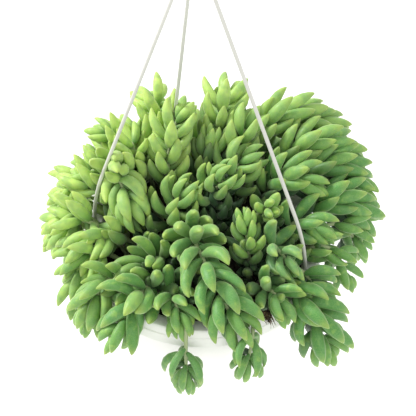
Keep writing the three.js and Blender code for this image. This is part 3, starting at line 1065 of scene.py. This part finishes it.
# A clip's section as (radius, height), from under the lip to its top.
CLIP_OUTLINE = (
    (2.4, -6.5),
    (2.9, -6.1),
    (3.3, -4),
    (3.1, -3.6),
    (1.9, -3.3),
    (1.8, -3),
    (1.8, 0.3),
    (2, 0.45),
    (3.9, 0.45),
    (4.2, 0.8),
    (4.2, 1.8),
    (3.9, 2.4),
    (3.1, 3.6),
    (2.7, 5.6),
    (2.3, 6),
)


def make_clip(side, plastic):
    x, y = around(CLIP_TURNS[side], CLIP_CIRCLE)
    clip = drawn_out("lip_clip_" + side, CLIP_OUTLINE, CLIP_SIDES)
    put_at(clip, x, y, 0)
    finish_piece(clip, ["clip_" + side], plastic)


HOOK_BEND = 13.6  # radius of the hook's bend, to the middle of its rod
HOOK_ROD = 2.6  # radius of that rod
HOOK_SIDES = 20
HUB_SIDES = 40
# The hub's section as (radius, height), with heights from the hook's seat.
HUB_OUTLINE = (
    (6.4, -45),
    (7.3, -44.8),
    (8, -44),
    (8, -41.4),
    (7.6, -40.6),
    (4.6, -36.8),
    (3.7, -35.3),
    (3.3, -35),
)


def make_hook(plastic):
    """The hook, with a ball at its tip, and the hub that the strands come out of."""
    middle = -HOOK_BEND + HOOK_ROD
    points = []
    for degrees in range(-20, 241, 13):
        x, z = around(degrees, HOOK_BEND)
        points.append((x, 0, middle + z))
    points += [(-0.6, 0, middle - HOOK_BEND - 1), (0, 0, middle - HOOK_BEND - 6), (0, 0, -36.5)]
    points = np.array(points) - RIM
    rod = rod_piece("hanger_hook", points, [HOOK_ROD] * len(points), HOOK_SIDES, smooth=True)
    bulge = [(HOOK_ROD * math.cos(t), HOOK_ROD * math.sin(t)) for t in np.linspace(-1.4, 1.4, 9)]
    ball = drawn_out("tip", bulge, HOOK_SIDES)
    put_at(ball, *points[0])
    hub = drawn_out("hub", HUB_OUTLINE, HUB_SIDES)
    hub.data.transform(Matrix.Scale(MM, 4))
    joined([rod, ball, hub])
    finish_piece(rod, ["hook"], plastic)


# The tuft's middle: its root in the soil, the point that pulls it over, and its tip.
TUFT = ((44, -66, -6), (52, -88, 16), (57, -91, -2))
ROOTS = 34
ROOT_POINTS = 9
CAUGHT = 90  # crumbs caught in the roots


def make_root_tuft(fibre, earth):
    """Fine old roots that hang together over the lip, with crumbs of soil caught in them."""
    rng = np.random.default_rng(SEED + 2)
    pieces = []
    for _ in range(ROOTS):
        spread = rng.normal(0, 1.5, 3) * (1, 1, 0.7)
        share = np.linspace(rng.uniform(0, 0.4), rng.uniform(0.85, 1.05), ROOT_POINTS)
        wander = np.cumsum(rng.normal(0, 0.35, (ROOT_POINTS, 3)), axis=0)
        line = bezier(TUFT, share) + spread + wander
        pieces.append(rod_piece("fibre", line, np.linspace(0.42, 0.16, ROOT_POINTS), 5))
    places = bezier(TUFT, rng.uniform(0.1, 0.9, CAUGHT)) + rng.normal(0, 1.5, (CAUGHT, 3))
    points, faces = scattered(crumb_shape(), CAUGHT, places, rng.uniform(0.5, 1.4, CAUGHT), rng)
    crumbs = mesh_object("caught_crumbs", (points + RIM) * MM, faces)
    for piece in pieces:
        piece.data.materials.append(fibre)
    crumbs.data.materials.append(earth)
    crumbs.data.materials.append(fibre)
    for face in crumbs.data.polygons[: CRUMB_FACES * CAUGHT // 2]:
        face.material_index = 1
    tuft = joined(pieces + [crumbs])
    tuft.name = "old_roots"
    finish_piece(tuft, ["root_tuft"])


def studio():
    """A white floor and sky, a soft key light from the upper left and a weak fill from the front."""
    bpy.ops.mesh.primitive_plane_add(size=6, location=(0, 0.4, -2.4))
    floor = bpy.context.object
    floor.name = "floor"
    material, _, _, shader = new_material("floor_paint")
    shader.inputs["Base Color"].default_value = rgb(0.95, 0.95, 0.95)
    shader.inputs["Roughness"].default_value = 0.9
    floor.data.materials.append(material)
    world = bpy.data.worlds.new("studio")
    bpy.context.scene.world = world
    world.use_nodes = True
    nodes, links = world.node_tree.nodes, world.node_tree.links
    sky = nodes["Background"]
    sky.inputs["Color"].default_value = rgb(1, 1, 1)
    level = add(nodes, "ShaderNodeMapRange")
    level.inputs["To Min"].default_value = 0.9
    level.inputs["To Max"].default_value = 1.0
    links.new(add(nodes, "ShaderNodeLightPath").outputs["Is Camera Ray"], level.inputs["Value"])
    links.new(level.outputs["Result"], sky.inputs["Strength"])
    lamps = (("key", KEY_WAY, 14, 3.0), ("fill", (0.5, -1.0, 0.5), 40, 0.6))
    for name, way, angle, strength in lamps:
        data = bpy.data.lights.new(name, "SUN")
        data.energy = strength
        data.angle = math.radians(angle)
        lamp = bpy.data.objects.new(name, data)
        bpy.context.scene.collection.objects.link(lamp)
        lamp.rotation_euler = Vector(way).to_track_quat("Z", "Y").to_euler()
    bpy.context.scene.view_settings.view_transform = "Standard"


def make_basket():
    white = plastic_material("pot_plastic", rgb(0.96, 0.96, 0.91), rgb(0.86, 0.86, 0.77), 0.38)
    # Painted shade: the strands and the hook are the pot's white plastic, made greyer to stand for the
    # shade on the strands.
    strand_white_painted_shade = plastic_material("strand_plastic_painted_shade", rgb(0.68, 0.68, 0.62), rgb(0.55, 0.54, 0.46), 0.42)
    earth = earth_material("potting_mix", rgb(0.010, 0.007, 0.005), rgb(0.06, 0.038, 0.024), 300)
    grit = earth_material("pale_grit", rgb(0.3, 0.27, 0.22), rgb(0.55, 0.52, 0.45), 500)
    fibre = earth_material("root_fibre", rgb(0.08, 0.05, 0.022), rgb(0.26, 0.18, 0.1), 700)
    make_pot(white)
    make_soil(earth, grit)
    for side in CLIP_TURNS:
        make_strand(side, strand_white_painted_shade)
        make_clip(side, white)
    make_hook(strand_white_painted_shade)
    make_root_tuft(fibre, earth)


set_camera()
studio()
make_basket()
make_plant()
